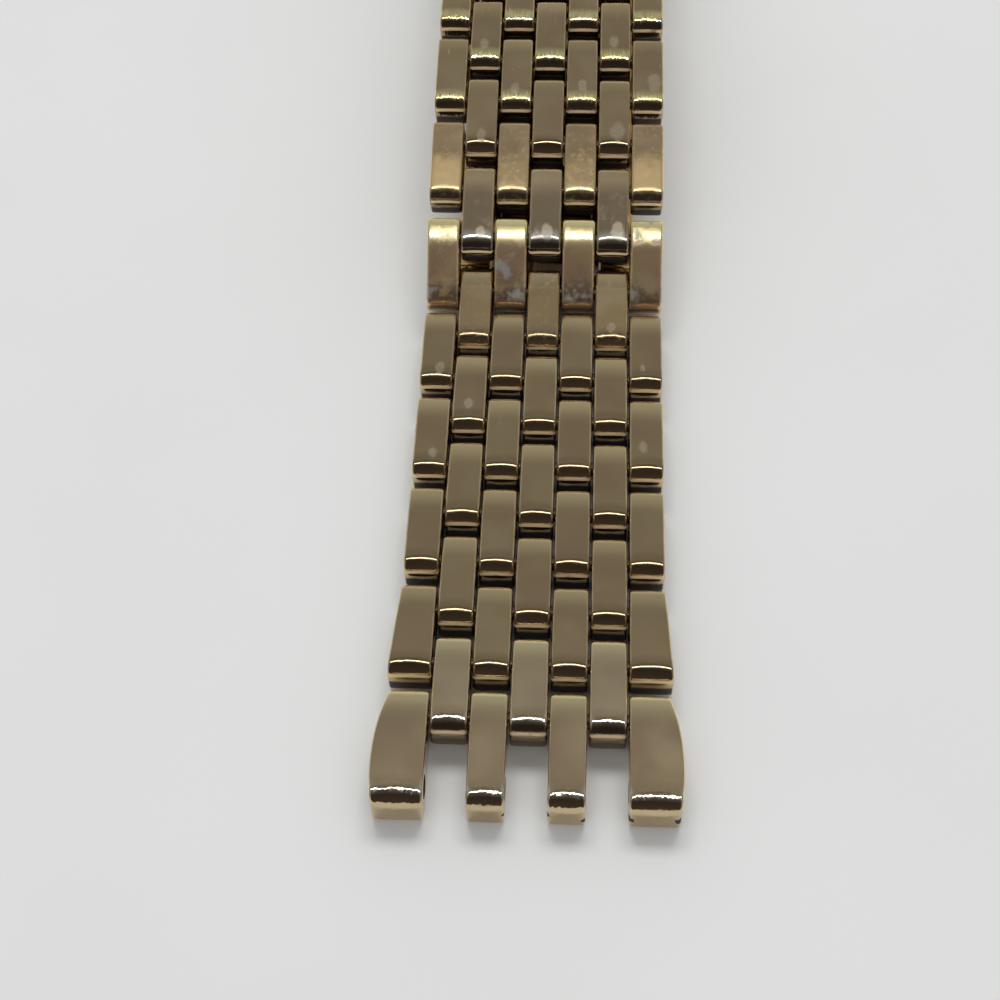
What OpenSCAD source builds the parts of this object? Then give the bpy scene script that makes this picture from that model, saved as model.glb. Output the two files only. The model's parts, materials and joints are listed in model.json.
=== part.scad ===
// Metal link watch strap with a hidden folding clasp, lying face up with the clasp closed.
// Both halves are seven columns wide. Rows of four links and rows of three links take turns and
// share a cross pin where they overlap. The last rows of each half ride on the folding arms of
// the clasp, so the strap arches there and steps down to the table on either side.
// X runs across the strap, Y along it, Z up. The origin is under the seam, on the table.

/* [Links] */
// Width of one link
link_w = 2.42; // [1.8:0.01:3]
// Clearance between the links of neighbouring columns
col_gap = 0.15; // [0.1:0.01:0.6]
// Thickness of a link
link_t = 2.9; // [2.6:0.05:3.1]
// Distance between the two cross pins of a row
pin_step = 4.06; // [3.9:0.01:4.6]
// From a cross pin to the end of its link
end_reach = 1.5; // [1.3:0.01:1.6]
// Rounding of a link's ends
end_r = 0.85; // [0.4:0.05:1]
// Rounding of the upper corner at a link's outer end
nose_r = 1.2; // [0.85:0.05:1.25]
// Softening of a link's long edges
edge_r = 0.16; // [0.05:0.01:0.3]

/* [Cross pins] */
// Radius of a cross pin
pin_r = 0.5; // [0.3:0.05:0.6]
// Radial play of a three-link row on its pins
pin_play = 0.03; // [0.02:0.01:0.08]
// Radial room of a pin in the four-link row that holds it
pin_grip = 0.01; // [0.01:0.01:0.03]
// How far a pin's end lies below the side of the strap
pin_inset = 0.06; // [0.02:0.01:0.3]

/* [Case ends] */
// Extra length of the fingers at the watch case
finger_extra = 1.16; // [0.6:0.05:1.8]
// Rounding under the finger's tip
finger_foot_r = 0.3; // [0.1:0.05:0.85]
// From the finger's tip to the spring bar
bar_setback = 1.75; // [1.5:0.05:2.2]
// Radius of the hole for the spring bar
bar_r = 0.8; // [0.5:0.05:0.95]
// How much wider the second wide row gets on each side, towards the case
flare_1 = 0.52; // [0.1:0.02:0.8]
// Side bulge of the fingers beyond the strap's side
flare_0 = 1.08; // [0.7:0.02:1.4]
// Radius of the fingers' curved sides
flare_r = 17; // [12:0.5:40]
// From the inner pin to the widest place of the fingers
flare_peak = 3.95; // [3:0.05:5]

/* [Lie of the strap] */
// Rows of each half that ride on the clasp
ride_rows = 6; // [5:1:7]
// How much each riding row leans more than the one before
arch_step = 3; // [2.6:0.1:3.4]
// Lean of the row that steps off the clasp
step_tilt = 42; // [40:0.5:45]
// Lean of the next row
foot_tilt = 7; // [5:0.5:10]

/* [Clasp] */
// Thickness of a folding arm
arm_t = 0.8; // [0.6:0.05:0.9]
// Width of a folding arm
arm_w = 12.4; // [11:0.1:13]
// Thickness of the clasp plate
plate_t = 0.8; // [0.6:0.05:0.9]
// Width of the clasp plate
plate_w = 13.4; // [12.8:0.1:14.4]
// Gap between the links and a folding arm
ride_gap = 0.3; // [0.3:0.01:0.4]
// Gap between a folding arm and the plate
leaf_gap = 0.15; // [0.1:0.01:0.25]
// Outer radius of the hinge knuckles
knuckle_r = 1; // [0.9:0.05:1.1]
// Radius of the hinge pin
hinge_pin_r = 0.5; // [0.35:0.05:0.6]
// Radial play of an arm on its hinge pin
hinge_play = 0.03; // [0.02:0.01:0.06]
// Gap between neighbouring knuckles, and from the hinge to the strap
hinge_gap = 0.15; // [0.1:0.01:0.2]
// Width of an arm's middle knuckle
arm_knuckle_w = 8.3; // [6:0.1:9]
// Width of the slit between the two halves at the seam
seam_gap = 0.12; // [0.1:0.02:0.3]

/* [Latch] */
// Length of the latch housing across the strap
housing_x = 15.2; // [14.8:0.1:16]
// Width of the latch housing along the strap
housing_y = 5.6; // [5.4:0.1:6.4]
// Wall at each end of the latch housing
housing_wall = 0.9; // [0.6:0.05:1]
// Wall along each side of the latch housing
housing_side = 0.7; // [0.5:0.05:0.8]
// Height of the housing's room below the plate
housing_room = 2.4; // [2.3:0.05:2.6]
// Thickness of the housing's cover
cover_t = 0.6; // [0.5:0.05:0.9]
// Radius of a push button's cap
cap_r = 1.2; // [0.9:0.05:1.4]
// How far a cap stands out past the strap's side
cap_out = 0.1; // [0:0.05:1.8]
// Bevel round a cap's face
cap_bevel = 0.3; // [0.1:0.05:0.5]
// Travel of a push button
button_travel = 0.5; // [0.3:0.05:0.6]
// Radius of a button's stem
stem_r = 0.6; // [0.45:0.05:0.7]
// Radial play of a stem in its bores
stem_play = 0.03; // [0.02:0.01:0.06]
// Radius of the collar on the stem
collar_r = 1.1; // [0.95:0.05:1.15]
// Length of the collar
collar_l = 0.85; // [0.5:0.05:1]
// Thickness of the rib that the spring pushes on
rib_t = 0.6; // [0.4:0.05:0.8]
// From the middle of the strap to the rib
rib_x = 2.5; // [2.4:0.05:2.7]
// Radius of the spring wire
wire_r = 0.12; // [0.08:0.01:0.12]
// Turns of the spring
spring_turns = 5; // [4:1:6]
// Thickness of an arm's catch tab
tab_t = 0.6; // [0.4:0.05:0.7]
// Width of a catch tab
tab_w = 1.2; // [0.8:0.05:1.3]

/* [Hidden] */
rows = 17;
gold = [0.72, 0.62, 0.42];
bright_gold = [0.82, 0.72, 0.5];
steel = [0.72, 0.72, 0.7];
$fn = 64;
ARC_FN = 720;
// Small clearance inside the latch, and between a spring and its seats
AIR = 0.05;
SPRING_AIR = 0.02;
// How far a cutting shape runs past what it cuts
CUT = 1;
// Room round a catch tab, and on its outer side for the swing of its arm
TAB_AIR = 0.2;
TAB_SWING = 0.4;
// How far the tab slots reach down into the housing's walls
SLOT_DIP = 0.5;
// From the rib to a catch tab, and from the rib to the tip of a stem
TAB_SETBACK = 0.45;
STEM_TAIL = 0.3;

// Columns count from -3 to 3; four-link rows fill the odd ones, three-link rows the even ones
WIDE_COLUMNS = [-3, -1, 1, 3];
NARROW_COLUMNS = [-2, 0, 2];
col_pitch = link_w + col_gap;
side_x = 3*col_pitch + link_w/2;
across_all = 4*side_x;
row_end = pin_step + end_reach;
finger_end = row_end + finger_extra;
bar_y = finger_end - bar_setback;

// Rows count outwards from the seam: row 1 hangs on the folding arm, row 17 is the case end.
// A leaning row stands on the lower corner of its outer end, so the next rows lean a little too.
function corner_dip(t) = (end_reach - end_r)*sin(t) - (link_t/2 - end_r)*(1 - cos(t));
function tilt(n) = n <= ride_rows ? n*arch_step
    : n == ride_rows + 1 ? step_tilt : n == ride_rows + 2 ? foot_tilt
    : n <= ride_rows + 5 ? asin(corner_dip(tilt(n - 1))/pin_step) : 0;
function pin_y(n) = n == 0 ? pin_step/2 : pin_y(n - 1) + pin_step*cos(tilt(n));
function fall(n) = n == 0 ? 0 : fall(n - 1) + pin_step*sin(tilt(n));
seam_z = link_t/2 + fall(rows);
function pin_z(n) = seam_z - fall(n);
function is_wide(n) = n % 2 == 1;
// Rows are named by their place from the case end
function row_of(place) = rows + 1 - place;

// The riding rows' pins lie on a circle round arch_z; arm and plate follow inside it
arch_r = pin_step/(2*sin(arch_step/2));
arch_z = seam_z - arch_r*cos(arch_step/2);
arm_outer = arch_r*cos(arch_step/2) - link_t/2 - ride_gap;
arm_inner = arm_outer - arm_t;
plate_outer = arm_inner - leaf_gap;
plate_inner = plate_outer - plate_t;

// The hinge lies on the table, just under the row that steps off the clasp
step_normal = [sin(step_tilt), cos(step_tilt)];
step_back = [-cos(step_tilt), sin(step_tilt)];
hinge_z = knuckle_r;
hinge_y = ([pin_y(ride_rows), pin_z(ride_rows)]*step_normal - link_t/2 - hinge_gap - knuckle_r
    - hinge_z*cos(step_tilt))/sin(step_tilt);
hinge = [hinge_y, hinge_z];

// The arm's neck leaves the knuckle along the stepping row's underside and meets the arm
neck_start = hinge + (knuckle_r - arm_t/2)*step_normal - [0, arch_z];
function reach_circle(from, along, r) = let (b = from*along, c = from*from - r*r) -b + sqrt(b*b - c);
neck_l = reach_circle(neck_start, step_back, arm_inner + arm_t/2);
neck_end = neck_start + neck_l*step_back;
neck_angle = atan2(neck_end.x, neck_end.y);
neck_under = neck_start - (arm_t/2)*step_normal;
notch_y = (neck_under + reach_circle(neck_under, step_back, plate_outer)*step_back).x - 2*hinge_gap;
hinge_angle = atan2(hinge_y, hinge_z - arch_z);
hinge_pin_l = plate_w - 2*pin_inset;

// Latch housing, hung under the middle of the plate
plate_under = arch_z + plate_inner;
arm_under = arch_z + arm_inner;
housing_top = arch_z + plate_outer*cos(asin(housing_y/2/plate_outer)) - plate_t/2;
housing_bottom = plate_under - housing_room;
room_x = housing_x/2 - housing_wall;
room_y = housing_y/2 - housing_side;
stem_z = plate_under - housing_room/2;
stem_end = rib_x - STEM_TAIL;
cap_start = housing_x/2 + button_travel + 2*AIR;
cap_end = side_x + cap_out;
collar_end = room_x - AIR;
spring_from = rib_x + rib_t + SPRING_AIR;
spring_to = collar_end - collar_l - SPRING_AIR;
coil_r = stem_r + 2*AIR + wire_r;
tab_y = coil_r + wire_r + 2*AIR;
tab_x = rib_x + rib_t + TAB_SETBACK + tab_w/2;
tab_z = stem_z - collar_r/2;

// The side view of a bar with four rounded corners, from a to b, centred on the pin line
module rounded_bar(a, b, t, r) {
    translate([a + r, -t/2]) square([b - a - 2*r, t]);
    translate([a, -t/2 + r]) square([b - a, t - 2*r]);
    for (y = [a + r, b - r], z = [-t/2 + r, t/2 - r]) translate([y, z]) circle(r);
}

// The side view of a link. Its outer end's upper corner is rounded more than the others
module link_side(a, b, foot = end_r) {
    corners = [[a, -1, end_r], [a, 1, end_r], [b, -1, foot], [b, 1, nose_r]];
    difference() {
        translate([a, -link_t/2]) square([b - a, link_t]);
        for (c = corners) translate([c.x, c.y*link_t/2]) square(2*c.z, center = true);
    }
    for (c = corners)
        translate([c.x + (c.x == a ? c.z : -c.z), c.y*(link_t/2 - c.z)]) circle(c.z);
}

// Stands a side view up and gives it a width across the strap
module across(w, x = 0) {
    translate([x, 0, 0]) rotate([90, 0, 90]) linear_extrude(w, center = true) children();
}

module cross_hole(y, z, r, w = across_all) {
    translate([0, y, z]) rotate([0, 90, 0]) cylinder(h = w, r = r, center = true);
}

// A plain link: rounded ends from the side, softened edges from the end
module link(column, a, b, foot = end_r) {
    intersection() {
        across(link_w, column*col_pitch) link_side(a, b, foot);
        translate([column*col_pitch, (a + b)/2, 0]) rotate([90, 0, 0])
            linear_extrude(b - a + CUT, center = true)
                rounded_bar(-link_w/2, link_w/2, link_t, edge_r);
    }
}

// An outer link whose outer side follows a plan outline
module shaped_link(column, a, b, foot = end_r) {
    intersection() {
        across(4*col_pitch, sign(column)*3*col_pitch) link_side(a, b, foot);
        translate([0, 0, -link_t]) linear_extrude(2*link_t)
            mirror([column < 0 ? 1 : 0, 0, 0]) children();
    }
}

// Plan outline of the second wide row's outer link, a straight flare towards the case
module flare_outline() {
    inner = 3*col_pitch - link_w/2;
    polygon([[inner, -end_reach], [side_x, -end_reach], [side_x + flare_1, row_end],
        [inner, row_end]]);
}

// Plan outline of the case end's outer finger, with a curved side
module finger_outline() {
    inner = 3*col_pitch - link_w/2;
    intersection() {
        translate([inner, -end_reach]) square([2*link_w, finger_end + end_reach]);
        translate([side_x + flare_0 - flare_r, flare_peak]) circle(flare_r, $fn = ARC_FN);
    }
}

// Half width of a wide row at a cross pin, for the pin's length
function flare_at(n, y) =
    n == rows ? flare_0 - flare_r + sqrt(flare_r*flare_r - (y - flare_peak)*(y - flare_peak))
    : n == rows - 2 ? flare_1*(y + end_reach)/(row_end + end_reach) : 0;

module row_links(n) {
    last = n == rows;
    for (c = is_wide(n) ? WIDE_COLUMNS : NARROW_COLUMNS) {
        if (last && abs(c) == 3)
            shaped_link(c, -end_reach, finger_end, finger_foot_r) finger_outline();
        else if (last) link(c, -end_reach, finger_end, finger_foot_r);
        else if (n == rows - 2 && abs(c) == 3)
            shaped_link(c, -end_reach, row_end) flare_outline();
        else link(c, -end_reach, row_end);
    }
}

// A row in its own frame: inner pin at the origin, outer pin at pin_step
module row(n) {
    play = is_wide(n) ? pin_grip : pin_play;
    difference() {
        row_links(n);
        cross_hole(0, 0, pin_r + play);
        if (n == rows) cross_hole(bar_y, 0, bar_r);
        else cross_hole(pin_step, 0, pin_r + play);
    }
}

module pins(n) {
    for (y = n == rows ? [0] : [0, pin_step])
        cross_hole(y, 0, pin_r, 2*(side_x + flare_at(n, y) - pin_inset));
}

// Places a row of one half; side -1 is the near half, 1 the far half
module in_place(n, side) {
    mirror([0, side < 0 ? 1 : 0, 0]) translate([0, pin_y(n - 1), pin_z(n - 1)])
        rotate([-tilt(n), 0, 0]) children();
}

module strap_row(n, side) { color(gold) in_place(n, side) row(n); }
module strap_pins(n, side) { color(bright_gold) in_place(n, side) pins(n); }

// A curved leaf of the clasp seen from the side, between two angles from the top
module leaf(r_in, r_out, from, to) {
    far = 2*r_out;
    translate([0, arch_z]) intersection() {
        difference() {
            circle(r_out, $fn = ARC_FN);
            circle(r_in, $fn = ARC_FN);
        }
        polygon([[0, 0], far*[sin(from), cos(from)], far*[sin(to), cos(to)]]);
    }
}

// The slab that joins an arm to its knuckle, seen from the side
module neck() {
    middle = neck_l/2;
    from = neck_start + [0, arch_z];
    translate(from + middle*step_back) rotate(-step_tilt)
        square([neck_l, arm_t], center = true);
}

// The half links on an arm's tip, which close the pattern at the seam
module tip_links() {
    tip_y = pin_y(0);
    for (c = NARROW_COLUMNS) intersection() {
        across(link_w, c*col_pitch) {
            intersection() {
                translate([0, seam_z]) link_side(-tip_y, tip_y + end_reach);
                translate([seam_gap/2, seam_z - link_t]) square([3*pin_step, 2*link_t]);
            }
            translate([seam_gap/2, arm_under + arm_t/2])
                square([tip_y, seam_z - arm_under - arm_t/2]);
        }
        translate([c*col_pitch, 0, seam_z - link_t/2]) rotate([90, 0, 0])
            linear_extrude(4*pin_step, center = true)
                rounded_bar(-link_w/2, link_w/2, 2*link_t, edge_r);
    }
}

// Tabs that go down through the plate, beside the buttons' stems
module catch_tabs() {
    for (x = [-tab_x, tab_x])
        translate([x - tab_w/2, tab_y, tab_z]) cube([tab_w, tab_t, arm_under + arm_t/2 - tab_z]);
}

// A folding arm of the far half; the near one is its mirror image
module arm() {
    difference() {
        union() {
            across(arm_w) leaf(arm_inner, arm_outer, asin(seam_gap/2/arm_inner), neck_angle);
            across(arm_knuckle_w) {
                neck();
                translate(hinge) circle(knuckle_r);
            }
            tip_links();
            catch_tabs();
        }
        cross_hole(pin_y(0), seam_z, pin_r + pin_play);
        cross_hole(hinge_y, hinge_z, hinge_pin_r + hinge_play);
    }
}

module folding_arm(side) { color(bright_gold) mirror([0, side < 0 ? 1 : 0, 0]) arm(); }

// The room in the plate and its housing for one button, its spring and the catch tabs
module latch_room() {
    for (side = [-1, 1]) {
        // room for collar and spring, open downwards
        translate([side > 0 ? rib_x + rib_t : -room_x, -room_y, housing_bottom - CUT])
            cube([room_x - rib_x - rib_t, 2*room_y, housing_room + CUT]);
        // slots in the plate for the tabs
        for (out = [0, 1]) mirror([0, out, 0])
            translate([side*tab_x - tab_w/2 - TAB_AIR, tab_y - TAB_AIR, plate_under - SLOT_DIP])
                cube([tab_w + 2*TAB_AIR, room_y - tab_y + TAB_AIR + TAB_SWING,
                    SLOT_DIP + plate_t + CUT]);
    }
    translate([-rib_x, -room_y, housing_bottom - CUT])
        cube([2*rib_x, 2*room_y, housing_room + CUT]);
    cross_hole(0, stem_z, stem_r + stem_play, housing_x + 2*CUT);
}

module plate_knuckles(side) {
    knuckle_w = (plate_w - arm_knuckle_w)/2 - hinge_gap;
    for (x = [-1, 1])
        across(knuckle_w, x*(plate_w - knuckle_w)/2) translate([side*hinge_y, hinge_z])
            circle(knuckle_r);
}

module clasp_plate() {
    color(gold) difference() {
        union() {
            across(plate_w) leaf(plate_inner, plate_outer, -hinge_angle, hinge_angle);
            for (side = [-1, 1]) plate_knuckles(side);
            translate([-housing_x/2, -housing_y/2, housing_bottom])
                cube([housing_x, housing_y, housing_top - housing_bottom]);
        }
        latch_room();
        for (side = [-1, 1]) {
            cross_hole(side*hinge_y, hinge_z, hinge_pin_r + pin_grip);
            // notch that lets the arm's neck and knuckle through
            mirror([0, side < 0 ? 1 : 0, 0])
                translate([-arm_knuckle_w/2 - hinge_gap, notch_y, -CUT])
                    cube([arm_knuckle_w + 2*hinge_gap, hinge_y, seam_z]);
        }
    }
}

module latch_cover() {
    color(gold) translate([0, 0, housing_bottom - cover_t]) linear_extrude(cover_t)
        rounded_bar(-housing_x/2, housing_x/2, housing_y, housing_wall);
}

module hinge_pins() {
    color(bright_gold) for (side = [-1, 1])
        cross_hole(side*hinge_y, hinge_z, hinge_pin_r, hinge_pin_l);
}

// A push button: cap outside, stem through the housing wall and the rib, collar inside
module push_button(side) {
    color(bright_gold) mirror([side < 0 ? 1 : 0, 0, 0]) translate([0, 0, stem_z])
        rotate([0, 90, 0]) rotate_extrude() polygon([
            [0, stem_end], [stem_r, stem_end], [stem_r, collar_end - collar_l],
            [collar_r, collar_end - collar_l], [collar_r, collar_end], [stem_r, collar_end],
            [stem_r, cap_start], [cap_r, cap_start], [cap_r, cap_end - cap_bevel],
            [cap_r - cap_bevel, cap_end], [0, cap_end]]);
}

// A coil spring round a stem: one unbroken tube, six-sided, along a helix
SPRING_STEPS = 12;
SPRING_SIDES = 6;
spring_rings = spring_turns*SPRING_STEPS;
function coil_point(i, k) = let (
    turn = 360*i/SPRING_STEPS,
    around = 360*k/SPRING_SIDES,
    r = coil_r + wire_r*cos(around),
    length = spring_to - spring_from - 2*wire_r,
    x = spring_from + wire_r + length*i/spring_rings + wire_r*sin(around))
    [x, r*cos(turn), stem_z + r*sin(turn)];

module coil() {
    points = [for (i = [0:spring_rings], k = [0:SPRING_SIDES - 1]) coil_point(i, k)];
    last = spring_rings*SPRING_SIDES;
    sides = [for (i = [0:spring_rings - 1], k = [0:SPRING_SIDES - 1])
        let (a = i*SPRING_SIDES + k, b = i*SPRING_SIDES + (k + 1) % SPRING_SIDES)
        each [[a, b, b + SPRING_SIDES], [a, b + SPRING_SIDES, a + SPRING_SIDES]]];
    ends = [for (k = [1:SPRING_SIDES - 2]) each [[0, k + 1, k], [last, last + k, last + k + 1]]];
    polyhedron(points, concat(sides, ends));
}

module button_springs() {
    color(steel) for (side = [0, 1]) mirror([side, 0, 0]) coil();
}

for (k = [1:rows]) {
    strap_row(row_of(k), -1);
    strap_row(row_of(k), 1);
}
for (k = [1:2:rows]) {
    strap_pins(row_of(k), -1);
    strap_pins(row_of(k), 1);
}
clasp_plate();
latch_cover();
folding_arm(-1);  // near_arm
folding_arm(1);  // far_arm
hinge_pins();
push_button(-1);  // left_button
push_button(1);  // right_button
button_springs();
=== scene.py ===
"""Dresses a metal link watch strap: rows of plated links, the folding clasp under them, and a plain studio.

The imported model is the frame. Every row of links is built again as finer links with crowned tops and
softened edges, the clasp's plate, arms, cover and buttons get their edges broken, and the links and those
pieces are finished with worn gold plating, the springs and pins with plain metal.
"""
import json
import logging
import math
from collections.abc import Iterator
from contextlib import contextmanager
from dataclasses import dataclass, field
from enum import Enum
from functools import reduce

import bmesh
import bpy
import numpy as np
from bpy.types import Material, Mesh, NodeTree, Object
from mathutils import Matrix, Vector


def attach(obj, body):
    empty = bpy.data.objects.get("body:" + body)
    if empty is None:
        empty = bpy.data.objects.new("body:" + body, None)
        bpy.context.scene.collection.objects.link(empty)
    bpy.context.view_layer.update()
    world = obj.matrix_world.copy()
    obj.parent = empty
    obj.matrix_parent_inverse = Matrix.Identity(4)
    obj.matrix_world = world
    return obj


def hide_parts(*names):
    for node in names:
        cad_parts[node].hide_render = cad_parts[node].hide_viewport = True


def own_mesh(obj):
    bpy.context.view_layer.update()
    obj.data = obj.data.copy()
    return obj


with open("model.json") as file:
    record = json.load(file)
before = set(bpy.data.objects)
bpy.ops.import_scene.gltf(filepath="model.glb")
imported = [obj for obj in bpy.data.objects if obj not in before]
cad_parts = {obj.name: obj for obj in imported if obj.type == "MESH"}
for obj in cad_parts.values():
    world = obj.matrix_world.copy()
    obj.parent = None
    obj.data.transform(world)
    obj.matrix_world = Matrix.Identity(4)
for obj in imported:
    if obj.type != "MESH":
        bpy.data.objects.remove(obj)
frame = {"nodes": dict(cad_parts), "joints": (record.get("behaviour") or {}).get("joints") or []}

LOG = logging.getLogger("strap")
MM = 0.001
MICRON = 1e-6
IMAGE_SIDE = 1000
COLUMN_PITCH = 2.57*MM
WIDE_COLUMNS = (-3, -1, 1, 3)
NARROW_COLUMNS = (-2, 0, 2)
ROW_COUNT = 17
HALF_SEED = 40
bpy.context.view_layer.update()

Color = tuple[float, float, float]
Pair = tuple[float, float]
Socket = bpy.types.NodeSocket
Value = Socket | float | Color


class Half(Enum):
    """The two halves of the strap, and which way each runs along Y from the seam."""

    NEAR = -1
    FAR = 1

    @property
    def label(self) -> str:
        """The first word of the names of this half's nodes."""
        return self.name.lower()


class Side(Enum):
    """Where a link stands in its row."""

    LEFT = -1
    INNER = 0
    RIGHT = 1


class Wear(Enum):
    """How a row's plating has aged."""

    KEPT = "kept"
    BRIGHT = "bright"
    PALE = "pale"
    SPECKLED = "speckled"
    TARNISHED = "tarnished"
    SILVERED = "silvered"
    # Partly real wear, partly a painted glow of the lamp on its patches.
    BRASSY = "brassy"
    RAGGED = "ragged"


@dataclass(frozen=True)
class Spot:
    """A pale dried drop on one link."""

    row: int  # place of the row from the case end of the near half
    column: int  # column of the link, from -3 to 3
    along: float  # from 0 at the link's inner end to 1 at its outer end
    across: float  # from -1 at the link's left side to 1 at its right
    size: float  # half length of the drop in millimetres


SPOTS = (
    Spot(8, -2, 0.70, -0.05, 0.58), Spot(7, -3, 0.76, 0.15, 0.52), Spot(7, 3, 0.65, -0.20, 0.55),
    Spot(10, 2, 0.77, 0.00, 0.55), Spot(9, -3, 0.80, 0.20, 0.60), Spot(9, 3, 0.76, -0.20, 0.38),
    Spot(12, 0, 0.79, 0.10, 0.75), Spot(12, -2, 0.80, 0.20, 0.60), Spot(12, 2, 0.77, 0.30, 0.85),
    Spot(16, -2, 0.72, -0.10, 0.62), Spot(16, 2, 0.67, -0.10, 0.66), Spot(14, -2, 0.80, 0.00, 0.62),
    Spot(14, 2, 0.74, 0.20, 0.95), Spot(15, 3, 0.66, 0.45, 0.95), Spot(15, 1, 0.71, 0.05, 0.60),
    Spot(15, -1, 0.76, -0.10, 0.62),
)
# The room's colour at degrees from the photographer's side, over the top and down to the far side.
ROOM_LEVELS = (
    (0.0, (0.06, 0.05, 0.046)), (60.0, (0.04, 0.034, 0.033)), (92.0, (0.055, 0.051, 0.051)),
    (104.0, (0.20, 0.20, 0.19)), (115.0, (0.31, 0.31, 0.31)), (122.0, (0.26, 0.26, 0.255)),
    (131.0, (0.25, 0.25, 0.24)), (140.0, (0.32, 0.325, 0.31)), (152.0, (0.42, 0.43, 0.40)),
    (180.0, (0.64, 0.66, 0.60)),
)
# How the near half's rows have aged; all other rows are kept.
ROW_WEAR = {
    1: Wear.BRIGHT, 2: Wear.PALE, 10: Wear.SPECKLED, 11: Wear.TARNISHED, 12: Wear.SILVERED,
    13: Wear.BRASSY, 15: Wear.RAGGED, 16: Wear.RAGGED, 17: Wear.RAGGED,
}
# Share of the painted shade low between the rows that these rows get; the others have all of it.
ROW_GAP_SHADE = {1: 0.0, 2: 0.8}
# Black dirt on the case fingers: x, y, z and radius in millimetres.
FINGER_SPECKS = ((1.36, -71.9, 1.45, 0.34), (3.75, -72.1, 0.8, 0.28), (6.5, -71.9, 1.2, 0.42),
                 (9.8, -72.0, 1.1, 0.40), (-1.36, -72.1, 1.2, 0.22))

# Painted shade on the lower part of each nose, below its highlight.
PAINTED_NOSE_SHADE = (0.12, 0.09, 0.07)
GONE_BROWN = (0.17, 0.115, 0.08)
GONE_SILVER = (0.60, 0.57, 0.49)
DRIED_PALE = (0.40, 0.39, 0.31)
# Painted reflection line where each nose turns down.
PAINTED_REFLECTION_LINE = (1.0, 0.76, 0.46)
BLACK_DIRT = (0.03, 0.03, 0.028)
# Painted shade low on the links' end faces, between the rows.
PAINTED_GAP_SHADE = (0.055, 0.04, 0.042)

# Soft steps along a link, in millimetres from its inner pin.
# Where the painted sheen at a link's inner end fades out.
INNER_SHEEN = (1.2, -1.0)
PATCH_RISE = (-0.5, 4.0)
PATCH_STOP = (4.8, 4.4)
STREAK_RISE = (3.9, 4.7)
STREAK_STOP = (4.9, 4.55)
BROWN_RISE = (0.5, 4.0)
TARNISH_STOP = (4.85, 4.5)
BEND_START = 0.6
# Soft steps up a link, in millimetres from its middle.
# The first two steps bound the painted shade between the rows, the next two the painted reflection line.
GAP_SHADE_TOP = (0.16, -0.08)
GAP_SHADE_FOOT = (-1.4, -1.0)
LINE_FOOT = (0.55, 0.62)
LINE_TOP = (0.86, 0.78)
DROP_FOOT = 0.6


def linked(name: str, data: bpy.types.ID) -> Object:
    """Puts a new object in the scene.

    Args:
        name: Its name.
        data: Its mesh, light or camera.

    Returns:
        The object.
    """
    obj = bpy.data.objects.new(name, data)
    bpy.context.scene.collection.objects.link(obj)
    return obj


@contextmanager
def editing(mesh: Mesh) -> Iterator[bmesh.types.BMesh]:
    """Opens a mesh for editing and writes it back afterwards.

    Args:
        mesh: The mesh.

    Yields:
        The open mesh.
    """
    bm = bmesh.new()
    bm.from_mesh(mesh)
    yield bm
    bm.to_mesh(mesh)
    bm.free()


def baked_mesh(obj: Object) -> Mesh:
    """Bakes an object's modifiers.

    Args:
        obj: The object.

    Returns:
        The plain mesh that they give.
    """
    graph = bpy.context.evaluated_depsgraph_get()
    return bpy.data.meshes.new_from_object(obj.evaluated_get(graph), preserve_all_data_layers=True,
                                           depsgraph=graph)


def read_vectors(mesh: Mesh, name: str = "position") -> np.ndarray:
    """Reads a vector attribute.

    Args:
        mesh: The mesh.
        name: The attribute's name.

    Returns:
        One row for each vertex.
    """
    values = np.empty(len(mesh.vertices)*3, np.float32)
    mesh.attributes[name].data.foreach_get("vector", values)
    return values.reshape(-1, 3)


def write_values(mesh: Mesh, name: str, values: np.ndarray) -> None:
    """Stores a number or a vector for each vertex.

    Args:
        mesh: The mesh.
        name: The attribute's name, new or not.
        values: One number or one row for each vertex.
    """
    kind, key = ("FLOAT", "value") if values.ndim == 1 else ("FLOAT_VECTOR", "vector")
    layer = mesh.attributes.get(name)
    if layer is None:
        layer = mesh.attributes.new(name, kind, "POINT")
    layer.data.foreach_set(key, values.astype(np.float32).ravel())


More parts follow.
